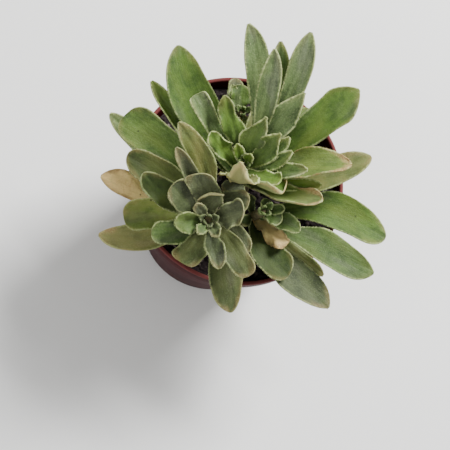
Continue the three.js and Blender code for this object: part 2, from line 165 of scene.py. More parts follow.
class Finish:
    # a material with one Principled shader and a way to add nodes to it
    def __init__(self, name, **sockets):
        self.material = bpy.data.materials.new(name)
        self.material.use_nodes = True
        self.tree = self.material.node_tree
        self.shader = self.tree.nodes["Principled BSDF"]
        self.set(**sockets)

    def fill(self, node, sockets):
        # links or sets each socket by its name, with _ for a space, or as i2 for number 2
        for key, value in sockets.items():
            numbered = key[0] == "i" and key[1:].isdigit()
            socket = node.inputs[int(key[1:]) if numbered else key.replace("_", " ")]
            if isinstance(value, Shade):
                self.tree.links.new(value.socket, socket)
            else:
                socket.default_value = value

    def node(self, kind, settings=None, out=0, **sockets):
        # any node: its settings first, then the values or links of its sockets
        node = self.tree.nodes.new("ShaderNode" + kind)
        for key, value in (settings or {}).items():
            setattr(node, key, value)
        self.fill(node, sockets)
        return Shade(self, node.outputs[out])

    def set(self, **sockets):
        # the shader's own sockets
        self.fill(self.shader, sockets)

    def bump(self, height, strength, depth):
        # tilts the surface by a height from 0 to 1, which stands for a depth in m
        bump = self.node("Bump", out="Normal", Height=height, Strength=strength, Distance=depth)
        self.set(Normal=bump)

    def attributes(self, *names):
        # numbers that the mesh carries on its points
        return [self.node("Attribute", {"attribute_name": name}, out="Fac") for name in names]

    def mix(self, factor, first, second):
        # colour between first and second, by a factor that is held between 0 and 1
        return self.node("Mix", {"data_type": "RGBA"}, out=2, i0=factor, i6=first, i7=second)

    def noise(self, vector, scale, detail=2.0, roughness=0.5):
        return self.node("TexNoise", Vector=vector, Scale=scale, Detail=detail, Roughness=roughness)

    def place(self):
        return self.node("TexCoord", out="Object")

    def squeezed(self, scale):
        # the place with its height multiplied, so that a pattern on it runs round the piece
        return self.node("Mapping", Vector=self.place(), Scale=(1.0, 1.0, scale))

    def combine(self, x, y, z):
        return self.node("CombineXYZ", X=x, Y=y, Z=z)

def srgb(red, green, blue):
    # a colour from 0 to 255 in linear light: a power of 2.4, and a straight line near black
    c = np.array([red, green, blue]) / 255.0
    linear = np.where(c <= 0.04045, c / 12.92, ((c + 0.055) / 1.055) ** 2.4)
    return (*linear, 1.0)

# Camera: above the pot and to its near left, as far off as the photograph was taken from

cameraSettings = {
    "distance": 450, "tilt": 20.2, "swing": -32.4,   # from the rim's middle, mm and degrees
    "target": (-5.5, -19, 72), "rimHeight": 72,      # mm
    "focal": 91.84, "sensor": 36, "near": 0.01,      # mm, mm and m
}

def makeCamera(settings):
    # stands at distance along the tilted direction, looks at the target, image up near +Y
    tilt, swing = np.radians(settings["tilt"]), np.radians(settings["swing"])
    away = Vector((np.sin(tilt) * np.sin(swing), -np.sin(tilt) * np.cos(swing), np.cos(tilt)))
    place = Vector((0, 0, settings["rimHeight"])) + away * settings["distance"]
    back = (place - Vector(settings["target"])).normalized()
    up = (Vector((0, 1, 0)) - back * back.y).normalized()
    right = up.cross(back)
    data = bpy.data.cameras.new("camera")
    data.lens, data.sensor_width = settings["focal"], settings["sensor"]
    data.clip_start = settings["near"]
    camera = bpy.data.objects.new("camera", data)
    turn = Matrix((right, up, back)).transposed().to_4x4()
    camera.matrix_world = Matrix.Translation(place * mm) @ turn
    bpy.context.scene.collection.objects.link(camera)
    bpy.context.scene.camera = camera

makeCamera(cameraSettings)
print("camera placed")

# Leaves

blade = {
    "margin": 0.6, "rib": 1.7, "tipThin": 0.5,   # thickness at edge and rib, mm, less towards the tip
    "smallWidth": 8.5, "smallRib": 0.75,         # a narrower leaf's share of the rib
    "widest": 0.68, "neck": 0.3, "tipHalf": 0.45, "tipPower": (2.2, 0.9),   # outline, root to tip
    "uneven": 0.09, "wander": (7, 15), "wanderShare": 0.7,   # how far and how fast it wanders
    "ruffle": 0.45, "waves": 2.4, "wavyHalf": 3, "frill": 0.2, "frillLength": 4.5,   # edge waves, mm
    "droopPower": 1.5, "sunk": 0.5,              # sunk is the root's place in the stem's radius
    "curlFrom": 0.6, "rollBy": 0.4, "skewFrom": 0.45,   # where these begin or are whole, 0 to 1
    "rootCup": 0.6, "cupBy": 0.5,                # share of the cup at the root, and where it is whole
    "channel": 0.2, "channelWide": 0.9, "channelFade": 0.6,   # groove along the rib, mm
    "ridges": 0.12, "ridgeRate": 2.2,            # ridges beside it, mm and radians a mm
    "stations": 40, "across": 16, "roundOff": 3, "walkSteps": 90,   # fineness of the mesh
    "shortLength": 12,                           # a shorter leaf has half the stations, mm
}

def leaf(start, turn, veer, rise, droop, long, wide, point, tone="fresh", **more):
    # a row for a leaf, as in the part's source: where along the stem it grows, the way it leaves
    # the stem and how far that swings by the tip, its rise and how far it droops, its size and how
    # pointed it is. The extras: cup is the arc of its section, curl lifts its tip, roll twists it,
    # spoon narrows its lower half, skew moves its tip sideways, ruffle and jag are its share of
    # the waves and of the uneven outline, and widest is where it is widest. Degrees and mm.
    usual = dict(cup=50, curl=0, roll=0, spoon=1, skew=0, ruffle=1, jag=1, widest=blade["widest"])
    return dict(usual, start=start, turn=turn, veer=veer, rise=rise, droop=droop, long=long,
                wide=wide, point=point, tone=tone, **more)

# How grey, olive, dry and dark a leaf is, how burnt its tip, how cream its underside and how pale
# its rim. Dark is partly the leaf's own colour and partly painted shade on leaves that lie in
# shadow; it may pass 1, and below 0 it lightens, on some leaves as painted light. The others go
# from 0 to 1.
toneParts = ("grey", "olive", "dry", "dark", "burn", "back", "rim")
tones = {
    "fresh": (0.05, 0.05, 0, 0.42, 0.15, 0, 0.45),
    "bright": (0, 0.1, 0, -0.05, 0.1, 0, 0.9),
    "pale": (0.3, 0.05, 0, -0.05, 0.15, 0, 0.8),
    "deep": (0.2, 0.05, 0, 0.3, 0.15, 0, 0.4),
    "shaded": (0.1, 0.15, 0, 1.25, 0.15, 0, 0.45),
    "cool": (0.35, 0, 0, 0.4, 0.05, 0, 0.6),
    "silver": (0.6, 0, 0, -0.35, 0.1, 0, 0.75),
    "dusty": (0.75, 0.1, 0, 0.75, 0.2, 0, 0.4),
    "grey": (0.9, 0.15, 0, 0.55, 0.2, 0, 0.35),
    "dull": (0.55, 0.3, 0, 0.75, 0.35, 0, 0.35),
    "sage": (0.6, 0.3, 0, -0.1, 0.4, 0, 0.5),
    "olive": (0.25, 0.6, 0, 0.3, 0.2, 0, 0.5),
    "mossy": (0, 0.5, 0, 0, 0.2, 0, 0.4),
    "moss": (0.1, 0.4, 0, 1.1, 0.2, 0, 0.4),
    "tan": (0.5, 0.45, 0.1, -0.45, 0.6, 0, 0.5),
    "tipped": (0.1, 0.3, 0, -0.05, 1, 0.35, 0.8),   # the green leaves with a burnt, curled tip
    "boat": (0, 0.1, 0, -0.1, 0.9, 1, 0.9),         # the folded leaf with a cream back
    "crown": (0, 0.4, 0.05, 0.25, 0.3, 1, 1),       # the leaves that curl over the middle
    "husk": (0.5, 0.5, 0.6, 0.1, 1, 1, 0.6),        # the folded brown leaf
    "straw": (0, 0.6, 0.88, -0.9, 0.3, 1, 0.4),     # the fallen yellow leaf, lightened as painted light
    "bud": (0.25, 0, 0, 0.35, 0, 0, 0.2),
    "budGrey": (0.7, 0.1, 0, 0.7, 0, 0, 0.15),
}

# The leafy stems, in mm: foot at the soil, top under the heart, and leaves from the lowest up

frontRosette = {
    "node": "rosette_front", "slot": "leaf_grey_green", "radius": 2.6,
    "foot": (-10, -12, 64), "top": (-17, -25, 101),
    "heart": dict(count=5, long=5, wide=2.8, rise=58, turn=20, tone="budGrey"),
    "leaves": [
        leaf(0.25, 134, 4, 14, 20, 53, 9, 0.6, "silver"),
        leaf(0.40, 115, 20, 18, 25, 49.5, 15.5, -0.6, "deep", spoon=1.3, skew=0.7, widest=0.74),
        leaf(0.45, 210, -39, 16, 20, 42, 11, 0.8, "tan"),
        leaf(0.50, 290, -7, 24, 25, 36.5, 13, 0.8, "dull", spoon=1.1, skew=-0.15),
        leaf(0.50, 135, 23, 20, 25, 37.5, 12, 0.2, "moss", skew=-0.2),
        leaf(0.60, 171, 23, 20, 20, 31, 12, -0.5, "mossy"),
        leaf(0.60, -18, -45, 35, 15, 21, 7, 0.2, "grey"),
        leaf(0.70, -46, -14, 28, 20, 26, 9, -0.4, "dull", ruffle=1.4),
        leaf(0.75, 247, -7, 25, 20, 18.5, 10.5, -1.4, "sage", skew=-0.2),
        leaf(0.75, 159, -27, 30, 20, 30, 10, 0.5, "shaded"),
        leaf(0.80, 209, -28, 28, 20, 21.5, 9, -0.2, "cool"),
        leaf(0.80, 85, 44, 28, 12, 39.5, 8.5, 0.7, "olive", skew=0.2),
        leaf(0.80, 49, -46, 25, 10, 17, 9, 0.1, "grey"),
        leaf(0.85, 284, 2, 32, 20, 18.5, 7.5, 0.7, "dusty", cup=90, ruffle=2.0, jag=1.6),
        leaf(0.85, 109, 12, 30, 10, 30, 7, 0.5, "grey", cup=140),
        leaf(0.90, 138, 4, 35, 15, 19, 9.5, -1.0, "dusty", skew=-0.2),
        leaf(0.90, 95, 4, 38, 10, 19, 10.5, -2.2, "grey", skew=0.3, ruffle=1.6),
        leaf(0.95, 187, 0, 40, 15, 13, 8, 0.8, "cool"),
        leaf(0.95, 18, -22, 38, 10, 14, 10, -1.8, "grey", cup=70, skew=0.3, ruffle=1.8),
        leaf(0.98, 79, 31, 30, 0, 11.5, 9.5, -2.0, "grey", curl=60, ruffle=1.4),
        leaf(1.00, 125, 0, 55, 5, 10, 4, 0.1, "grey"),
        leaf(1.00, 237, -5, 55, 5, 7.5, 4, 0.9, "deep"),
        leaf(1.00, -50, -16, 55, 5, 9, 5, 0.2, "dusty", cup=110, ruffle=1.8),
    ],
}

backRosette = {
    "node": "rosette_back", "slot": "leaf_green", "radius": 2.6,
    "foot": (3, -2, 64), "top": (-4, -4, 100),
    "heart": dict(count=5, long=5, wide=2.6, rise=58, turn=80, tone="bud"),
    "leaves": [
        leaf(0.30, 137, -6, 25, 25, 48, 7, 0.5, "dusty"),
        leaf(0.30, 44, 10, 10, 14, 38, 11, 0.5, "deep"),
        leaf(0.35, 76, -6, 14, 16, 34, 10, 0.5, "olive"),
        leaf(0.40, 12, -6, 14, 16, 30, 10, 0.5, "dull"),
        leaf(0.40, -10, 38, 18, 20, 50, 12, 0.6, "olive"),
        leaf(0.45, 151, -31, 30, 24, 51, 8, 0.6, "bright", cup=120, ruffle=2),
        leaf(0.50, 135, -34, 32, 22, 56, 17, 0.8, "fresh", spoon=1.3),
        leaf(0.50, 54, 38, 38, 20, 54.5, 8, 0.8, "deep", spoon=2, widest=0.76),
        leaf(0.60, 64, 47, 42, 20, 59, 9.5, 0.9, "silver", spoon=2.2, widest=0.78),
        leaf(0.60, 48, 28, 38, 20, 60, 9.5, 0.8, "silver", spoon=2.4, widest=0.78),
        leaf(0.60, 26, 9, 30, 22, 54, 14.5, 1.0, "fresh", spoon=1.5, skew=0.35, widest=0.82),
        leaf(0.60, -21, 22, 22, 15, 30, 5, 0.6, "bright"),
        leaf(0.60, 246, -24, 30, 10, 11, 9, 0.2, "grey"),
        leaf(0.70, 5, -8, 24, 20, 40.5, 13, 0.8, "tipped", cup=100, roll=-12, ruffle=1.8),
        leaf(0.50, -39, 37, 31, 18, 34, 10, 0.0, "tipped", cup=130, roll=-20, ruffle=1.4),
        leaf(0.75, 61, 25, 45, 18, 49, 8.5, 0.9, "silver", spoon=1.8, widest=0.74, ruffle=1.5),
        leaf(0.80, 52, 3, 40, 16, 37.5, 11.5, 1.2, "silver", spoon=1.5, skew=-0.6, ruffle=1.5),
        leaf(0.80, 131, -10, 40, 16, 34, 8, -4, "silver", cup=120, ruffle=1.8, widest=0.85),
        leaf(0.90, 153, -34, 45, 10, 19.5, 7, 0.3, "bright", cup=70, ruffle=2.4, jag=2.5),
        leaf(0.92, 262, 0, 50, -84, 29, 10.5, 1.1, "crown", cup=45, spoon=0.6, ruffle=3, jag=2.5,
             widest=0.55),
        leaf(0.90, 105, 4, 45, 12, 29, 7.5, 0.8, "fresh", ruffle=2.4, jag=3),
        leaf(0.88, 208, -18, 30, -20, 10, 5, 1.3, "crown", cup=40, spoon=0.6, roll=70),
        leaf(0.90, 7, 43, 40, 15, 22, 5, 0.7, "pale"),
        leaf(0.90, -9, 43, 38, 10, 21, 5, 0.7, "pale"),
        leaf(0.88, -50, 27, 36, 12, 20, 13.5, -2.4, "boat", cup=170, roll=-42, ruffle=1),
        leaf(0.97, -45, 33, 40, 10, 18, 6.5, -1.5, "bright", cup=60, roll=-25, ruffle=1, jag=0.4),
        leaf(0.95, 69, -11, 48, 10, 22, 9.5, 1.3, "pale", skew=-0.2, widest=0.6),
        leaf(0.95, 19, 20, 48, 10, 21, 9, 1.2, "pale", ruffle=1.4, skew=0.3, jag=0.3),
        leaf(0.85, -13, 11, 36, 12, 26, 7, 0.8, "pale", cup=90),
        leaf(1.00, 41, 12, 65, 0, 7, 4, 0.8, "bright"),
        leaf(1.00, 113, -17, 50, 0, 9, 4, 0.8, "bright"),
    ],
}

rightRosette = {
    "node": "rosette_right", "slot": "leaf_green", "radius": 2,
    "foot": (3, -15, 64), "top": (5.5, -18, 90),
    "heart": dict(count=5, long=5, wide=2.6, rise=58, turn=50, tone="bud"),
    "leaves": [
        leaf(0.25, -39, 6, 20, 22, 36, 6.5, 0.6, "olive"),
        leaf(0.30, 19, -42, 22, 22, 56, 15, 0.4, "fresh", spoon=1.7, skew=-0.6),
        leaf(0.35, -61, 18, 22, 22, 46, 14, 0.95, "dusty", spoon=1.3, skew=0.3, widest=0.72),
        leaf(0.50, -27, 12, 25, 22, 50, 13.5, 0.8, "cool", spoon=1.5, skew=-0.5, widest=0.72),
        leaf(0.50, 275, 45, 25, 15, 27.5, 13, 0.1, "shaded"),
        leaf(0.55, 304, 20, 50, 42, 18, 7.5, -0.6, "husk", cup=-60, spoon=0.7, ruffle=6, jag=2.5),
        leaf(0.80, -13, -28, 30, 10, 16.5, 7, 0.7, "cool"),
        leaf(0.60, 120, 20, 35, 10, 9, 5, 0.5, "shaded"),
        leaf(0.60, 205, 20, 35, 10, 8, 4.5, 0.5, "shaded"),
        leaf(0.90, 60, 10, 15, 10, 5, 4.5, 0.6, "cool"),
        leaf(0.95, -31, 2, 40, 5, 8, 6, 0.3, "cool"),
        leaf(0.95, 18, -31, 45, 5, 8.5, 4, 0.3, "cool"),
    ],
}

farRosette = {
    "node": "rosette_far", "slot": "leaf_green", "radius": 1.6,
    "foot": (0, 25, 64), "top": (0, 25.5, 77),
    "heart": dict(count=4, long=4.5, wide=2.4, rise=56, turn=10, tone="bud"),
    "leaves": [
        leaf(0.60, 108, -24, 22, 10, 15, 7, 0.4, "grey"),
        leaf(0.90, 124, -24, 30, 10, 11.5, 4.5, 0.8, "deep", cup=90),
        leaf(0.90, 98, -12, 34, 10, 11, 10, 0.8, "deep", ruffle=1.6, jag=2),
        leaf(0.90, -62, 5, 25, 0, 8, 6, 0.2, "tipped", cup=90, ruffle=1.6),
        leaf(0.70, 170, 10, 20, 10, 7, 5, 0.6, "dusty"),
    ],
}

leafyStems = {"front": frontRosette, "back": backRosette, "right": rightRosette, "far": farRosette}

witheredLeaf = {
    "foot": (-17.5, -12.3, 68.8), "top": (-17.5, -12.3, 80), "radius": 0, "seed": 2, "hairSeed": 3,
    "shape": leaf(0, 165.5, 1, 14.5, 10, 38.5, 11, 0.7, "straw", cup=30),
}

def toneOf(shape):
    # the leaf's tone with a name for each number
    return dict(zip(toneParts, tones[shape["tone"]]))

def axisTurn(plant):
    # the turn that takes +Z to the direction from foot to top
    axis = (Vector(plant["top"]) - Vector(plant["foot"])).normalized()
    return np.array(Vector((0, 0, 1)).rotation_difference(axis).to_matrix())

def halfWidth(shape, u):
    # widens from the neck as a power of a smooth step, then closes to the tip as a power curve
    widest, (full, less) = shape["widest"], blade["tipPower"]
    grow = blade["neck"] + (1 - blade["neck"]) * smoothStep(u / widest) ** shape["spoon"]
    s, power = np.clip((u - widest) / (1 - widest), 0, 1), full - less * shape["point"]
    close = np.maximum(1 - s ** power, 0) ** (1 / power)
    return np.maximum(shape["wide"] / 2 * np.where(u < widest, grow, close), blade["tipHalf"])

def outlineShare(shape, u, v, seed):
    # 1 and two waves along the leaf, which grow from its root: a slow one that swings both edges
    # the same way, and a quick one that widens and narrows the leaf
    slow, quick = blade["wander"]
    wander = v * np.sin(slow * u + 2.1 * seed)
    wander = wander + blade["wanderShare"] * v * v * np.sin(quick * u + 3.7 * seed)
    return 1 + shape["jag"] * blade["uneven"] * smoothStep(u / 0.3) * wander

def leafDirections(shape, u):
    # the direction of the middle line, whose rise and turn change with u, and the side and face
    # directions there, turned about it by the roll
    curl = shape["curl"] * smoothStep((u - blade["curlFrom"]) / (1 - blade["curlFrom"]))
    rise = np.radians(shape["rise"] - shape["droop"] * u ** blade["droopPower"] + curl)
    turn = np.radians(shape["turn"] + shape["veer"] * u)
    along = np.stack([np.cos(rise) * np.cos(turn), np.cos(rise) * np.sin(turn), np.sin(rise)], -1)
    side = np.stack([-np.sin(turn), np.cos(turn), 0 * turn], -1)
    face = np.cross(along, side)
    twist = (np.radians(shape["roll"]) * smoothStep(u / blade["rollBy"]))[..., None]
    cosine, sine = np.cos(twist), np.sin(twist)
    return along, side * cosine + face * sine, face * cosine - side * sine

def middleLine(shape, u):
    # the sum of small steps along the leaf's direction, read off at u
    steps = blade["walkSteps"]
    middles = (np.arange(steps) + 0.5) / steps
    walk = np.cumsum(leafDirections(shape, middles)[0] * (shape["long"] / steps), axis=0)
    walk = np.vstack([np.zeros(3), walk])
    return np.stack([np.interp(u, np.linspace(0, 1, steps + 1), walk[:, k]) for k in range(3)], -1)

def edgeWaves(shape, u, v, seed, half):
    # a sine along the leaf that grows as the square of v, and a frill, the product of two quicker
    # sines, that grows as its fourth power; both are less where the leaf is narrow
    broad = np.sin(2 * np.pi * blade["waves"] * u + 1.3 * v + seed)
    turns = shape["long"] / blade["frillLength"]
    fine = np.sin(2 * np.pi * turns * u + 3.1 * seed + 2 * np.sign(v))
    fine = fine * np.sin(4.3 * turns * u + seed)
    waves = blade["ruffle"] * v * v * broad + blade["frill"] * v ** 4 * fine
    return shape["ruffle"] * np.minimum(1, half / blade["wavyHalf"]) * waves

def leafPoints(plant, shape, seed, u, v):
    # points of a leaf's middle surface at the shares u of its length and v of its half width, with
    # the outward and upward directions there: an arc with waved edges, carried along the middle line
    along, side, face = leafDirections(shape, u)
    half = halfWidth(shape, u) * outlineShare(shape, u, v, seed)
    cupped = blade["rootCup"] + (1 - blade["rootCup"]) * smoothStep(u / blade["cupBy"])
    arc = np.radians(shape["cup"]) * cupped
    bend, angle = half / (arc / 2), v * arc / 2
    shift = smoothStep((u - blade["skewFrom"]) / (1 - blade["skewFrom"]))
    aside = shape["skew"] * shape["wide"] / 2 * shift + bend * np.sin(angle)
    lift = bend * (1 - np.cos(angle)) + edgeWaves(shape, u, v, seed, half)
    turn, share = np.radians(shape["turn"]), shape["start"]
    start = blade["sunk"] * plant["radius"] * np.array([np.cos(turn), np.sin(turn), 0])
    places = middleLine(shape, u) + start + side * aside[..., None] + face * lift[..., None]
    cosine, sine = np.cos(angle)[..., None], np.sin(angle)[..., None]
    turned = axisTurn(plant).T
    root = np.array(plant["foot"]) * (1 - share) + np.array(plant["top"]) * share
    outward, upward = side * cosine + face * sine, face * cosine - side * sine
    return places @ turned + root, outward @ turned, upward @ turned, half

def addLeaf(bunch, plant, shape, seed):
    # a closed blade: rings round its section, thick along the rib, with half-round edges; the upper
    # face has a bell-shaped groove along the rib and sine ridges beside it
    across, extra = blade["across"], blade["roundOff"]
    count = blade["stations"] // 2 if shape["long"] < blade["shortLength"] else blade["stations"]
    rib = blade["rib"] * (blade["smallRib"] if shape["wide"] < blade["smallWidth"] else 1.0)
    stations = 1 - (1 - np.linspace(0, 1, count + 1)) ** 1.5   # closer together near the tip
    spread = np.sin(np.pi / 2 * np.linspace(-1, 1, across + 1))
    turnOver = np.pi / 2 - np.pi * np.arange(1, extra + 1) / (extra + 1)
    whole, none = np.ones(across + 1), np.zeros(across + 1)
    v = np.concatenate([spread, np.ones(extra), spread[::-1], -np.ones(extra)])
    lift = np.concatenate([whole, np.sin(turnOver), -whole, -np.sin(turnOver)])
    push = np.concatenate([none, np.cos(turnOver), none, -np.cos(turnOver)])
    u, v = np.broadcast_arrays(stations[:, None], v[None, :])
    places, outward, upward, half = leafPoints(plant, shape, seed, u, v)
    thick = blade["margin"] + (rib - blade["margin"]) * (1 - v * v) * (1 - blade["tipThin"] * u * u)
    aside = v * half
    groove = blade["channel"] * np.exp(-(aside / blade["channelWide"]) ** 2)
    groove = groove * (1 - blade["channelFade"] * u)
    groove = groove + blade["ridges"] * np.sin(blade["ridgeRate"] * aside + seed) * (1 - v * v)
    rise = lift * thick / 2 - groove * (lift > 0)
    points = places + upward * rise[..., None] + outward * (push * blade["margin"] / 2)[..., None]
    pad = lambda values: np.concatenate([values.ravel(), [values[0].mean(), values[-1].mean()]])
    bunch.add(closedTube(points), *tubeFaces(*u.shape, flip=True),
              alongLeaf=pad(u), acrossMm=pad(aside), edgeMm=pad(half * (1 - np.abs(v))),
              underside=pad((lift < 0) + 0 * u), lengthMm=shape["long"], leafSeed=seed % 10.0,
              **toneOf(shape))

hearts = {"goldenAngle": 137.5, "shrink": 0.1, "lift": 7, "point": 0.9, "cup": 70}

def heartLeaves(plant):
    # the tiny leaves of the heart, one golden angle apart, each steeper and a little smaller
    heart = plant["heart"]
    for k in range(heart["count"]):
        share, turn = 1 - hearts["shrink"] * k, heart["turn"] + hearts["goldenAngle"] * k
        yield leaf(1, turn, 0, heart["rise"] + hearts["lift"] * k, 0, heart["long"] * share,
                   heart["wide"] * share, hearts["point"], heart["tone"], cup=hearts["cup"]), k

hairs = {
    "spacing": 0.32, "long": (0.22, 0.5), "thick": 0.035,   # mm
    "from": 0.12, "near": 0.01,                    # shares of the leaf's length
    "forward": (-0.1, 0.9), "spread": 0.55,        # lean towards the tip, and up or down
    "inset": 0.35, "off": 0.2, "seed": 5,
    "pale": srgb(222, 228, 190), "tan": srgb(205, 170, 130),
}

def addHairs(bunch, plant, shape, seed, random):
    # three-sided cones on the edge of a leaf, leaning outwards and a little towards the tip
    count = int(2 * shape["long"] / hairs["spacing"])
    u = random.uniform(hairs["from"], 1.0, count)
    v = np.where(random.random(count) < 0.5, -1.0, 1.0)
    places, outward, upward, half = leafPoints(plant, shape, seed, u, v)
    ahead = leafPoints(plant, shape, seed, np.minimum(u + hairs["near"], 1.0), v)[0]
    along = unit(ahead - leafPoints(plant, shape, seed, u - hairs["near"], v)[0])
    lean = outward * v[:, None] + along * random.uniform(*hairs["forward"], (count, 1))
    lean = unit(lean + upward * random.normal(0, hairs["spread"], (count, 1)))
    base = places + outward * (v * blade["margin"] * hairs["inset"])[:, None]
    base = base + upward * random.uniform(-hairs["off"], hairs["off"], (count, 1))
    tip = base + lean * random.uniform(*hairs["long"], (count, 1))
    first = unit(np.cross(lean, along + 0.3 * upward))
    second = np.cross(lean, first)
    angle = ringAngles(3)[:, None]
    circle = np.cos(angle) * first[:, None] + np.sin(angle) * second[:, None]
    foot = base[:, None] + hairs["thick"] * circle
    points = np.concatenate([foot, tip[:, None]], axis=1).reshape(-1, 3)
    k = 4 * np.arange(count)[:, None]
    faces = np.concatenate([k + [0, 1, 3], k + [1, 2, 3], k + [2, 0, 3], k + [2, 1, 0]])
    tone = toneOf(shape)
    dry = np.clip(tone["dry"] + 0.5 * tone["burn"] + 0.3 * tone["grey"], 0, 1)
    bunch.add(points, None, faces, dry=dry)

stemLook = {
    "around": 28, "along": 90,                     # fineness of the mesh
    "below": 6, "above": 1.0, "taper": 0.8,        # mm past its ends, share left at the top
    "scar": 0.16, "scarPitch": 3.1, "scarSharp": 8,       # ridges of the old leaves, mm
    "rough": 0.12, "roughRate": 1.4, "roughAround": 12,   # fine unevenness, mm
    "capFrom": 0.985, "capShare": 0.6,             # drawn in at the very top
    "dark": srgb(74, 62, 42), "light": srgb(116, 112, 70), "fleck": srgb(150, 138, 104),
}

def makeStem(name, plant):
    # a tapered tube with a ridge that winds up it, a high power of a sine, and lattice noise
    s, foot, top = stemLook, np.array(plant["foot"], float), np.array(plant["top"], float)
    height = np.linspace(-s["below"], np.linalg.norm(top - foot) + s["above"], s["along"])
    h, a = np.meshgrid(height, ringAngles(s["around"]), indexing="ij")
    u = np.linspace(0, 1, s["along"])[:, None]
    winding = np.sin(2 * np.pi * h / s["scarPitch"] + a)
    rough = latticeNoise(h * s["roughRate"], a * s["roughAround"] / (2 * np.pi), 3, s["roughAround"])
    radius = plant["radius"] * (1 - (1 - s["taper"]) * u)
    radius = radius + s["scar"] * winding ** s["scarSharp"] + s["rough"] * rough
    radius = radius * np.where(u > s["capFrom"], s["capShare"], 1.0)
    points = around(radius, a, h) @ axisTurn(plant).T + foot
    return makePiece(name, closedTube(points), *tubeFaces(*h.shape))

# Leaf finish

leafColours = {
    "fresh": srgb(86, 120, 36), "deep": srgb(44, 74, 20), "yellow": srgb(120, 138, 48),
    "grey": srgb(93, 103, 76), "greyDeep": srgb(50, 56, 42), "olive": srgb(130, 120, 70),
    "dry": srgb(248, 214, 144), "dryEdge": srgb(146, 110, 74), "cream": srgb(200, 188, 122),
    "margin": srgb(180, 192, 128), "specks": srgb(30, 30, 14), "down": srgb(152, 166, 116),
}

# How often a pattern repeats across and along a leaf, per mm, how far one leaf's is from the
# next one's, and the detail and roughness of its noise
leafPatterns = {
    "streaks": (1.1, 0.12, 7.0, 3.0, 0.6), "veins": (3.2, 0.22, 3.0, 2.0, 0.5),
    "patches": (0.24, 0.13, 5.0, 2.0, 0.5), "bands": (0.16, 0.05, 11.0, 1.0, 0.5),
    "crinkle": (0.4, 1.3, 2.0, 2.0, 0.6),
}

def leafFinish():
    # green to grey by the leaf's tone, streaks along it, a pale edge, a dry tan where it withers:
    # each layer goes over the last by soft steps of noise and of the place on the leaf
    c = leafColours
    f = Finish("leafSkin", Specular_IOR_Level=0.22, Sheen_Weight=0.08, Sheen_Roughness=0.5,
               Sheen_Tint=srgb(225, 232, 205), Subsurface_Weight=0.06, Subsurface_Scale=0.002,
               Subsurface_Radius=(0.6, 1.0, 0.2))
    along, across, edge, under = f.attributes("alongLeaf", "acrossMm", "edgeMm", "underside")
    length, seed = f.attributes("lengthMm", "leafSeed")
    grey, olive, dry, dark, burn, back, rim = f.attributes(*toneParts)
    walk = along * length

    def pattern(name):
        # noise drawn out along the leaf
        aside, ahead, apart, detail, roughness = leafPatterns[name]
        return f.noise(f.combine(across * aside, walk * ahead, seed * apart), 1.0, detail, roughness)

    streaks, veins, patches, bands, crinkle = [pattern(name) for name in leafPatterns]
    grain, mottle = f.noise(f.place(), 2400.0, 3.0, 0.7), f.noise(f.place(), 700.0, 3.0, 0.6)

    # deeper near the root, partly the leaf's own colour and partly painted shade where the leaves
    # crowd, and in patches, with yellower bands, and grey by the tone
    deep = (1.0 - along.step(0.0, 0.6)) * 0.6 + (1.0 - patches.step(0.3, 0.62)) * 0.55
    deep = deep + (1.0 - streaks.step(0.35, 0.62)) * 0.2
    deep = deep + (1.0 - mottle.step(0.35, 0.65)) * 0.32 - 0.2
    green = f.mix(bands.step(0.5, 0.72) * 0.4, f.mix(deep, c["fresh"], c["deep"]), c["yellow"])
    greyed = grey + veins.step(0.5, 0.75) * 0.12 + (1.0 - bands.step(0.3, 0.45)) * 0.35
    skin = f.mix(greyed, green, f.mix(deep, c["grey"], c["greyDeep"]))
    skin = f.mix(olive * (0.45 + 0.6 * patches.step(0.3, 0.7)), skin, c["olive"])

    # fine down, more of it on the underside, then each leaf's darkness, partly its own colour and
    # partly painted shade where it lies in shadow
    down = grain.step(0.5, 0.68) * (0.12 + 0.3 * grey) + streaks.step(0.55, 0.8) * 0.1
    skin = f.mix(down + veins.step(0.55, 0.8) * 0.08 + under * 0.2, skin, c["down"])
    skin = f.node("HueSaturation", Value=0.96 - dark * 0.5, Color=skin)

    # a cream underside, most near the edge, and the tan of a withered leaf
    rimNear = 1.0 - edge.step(0.2, 1.6)
    creamy = f.mix(patches.step(0.45, 0.7) * 0.25, c["cream"], c["dryEdge"])
    skin = f.mix(under * back * (0.05 + rimNear * 0.7 + streaks * 0.4), skin, creamy)
    tan = patches.step(0.4, 0.65) * 0.35 + streaks.step(0.5, 0.7) * 0.25 + burn * rimNear * 0.6
    withered = dry * (0.35 + along.step(0.2, 0.95) * 0.75 + (patches - 0.5) * 0.8)
    skin = f.mix(withered, skin, f.mix(tan, c["dry"], c["dryEdge"]))

    # a burnt tip, a ragged pale rim and small dark specks
    tipBurn = (along.step(0.55, 1.0) * 1.6 - edge * 0.45 + (patches - 0.5) * 2.6 - 0.4) * burn
    skin = f.mix(tipBurn.atMost(0.9), skin, f.mix(grain.step(0.4, 0.7), c["dryEdge"], c["cream"]))
    ragged = edge + (grain - 0.5) * 0.4 + (crinkle - 0.5) * 1.2 + (patches - 0.5) * 0.8
    border = f.mix(dry * 0.8 + burn * patches.step(0.4, 0.6), c["margin"], c["dryEdge"])
    skin = f.mix((1.0 - ragged.step(-0.15, 0.32)) * rim, skin, border)
    spots = f.node("TexVoronoi", {"feature": "F1"}, out="Distance", Scale=1.0,
                   Vector=f.combine(across * 0.13, walk * 0.13, seed * 2.0))
    skin = f.mix((1.0 - spots.step(0.035, 0.07)) * 0.75, skin, c["specks"])

    f.set(Base_Color=skin, Roughness=0.5 + 0.2 * grain)
    height = streaks * 0.3 + veins * 0.2 + grain * 0.4 + mottle * (0.4 + dry * 1.6)
    f.bump(height, 0.7, 0.0005)
    return f.material

def hairFinish():
    # pale hairs, tan on withered leaves
    f = Finish("leafHairs", Roughness=0.6, Specular_IOR_Level=0.3)
    dry, = f.attributes("dry")
    f.set(Base_Color=f.mix(dry, hairs["pale"], hairs["tan"]))
    return f.material

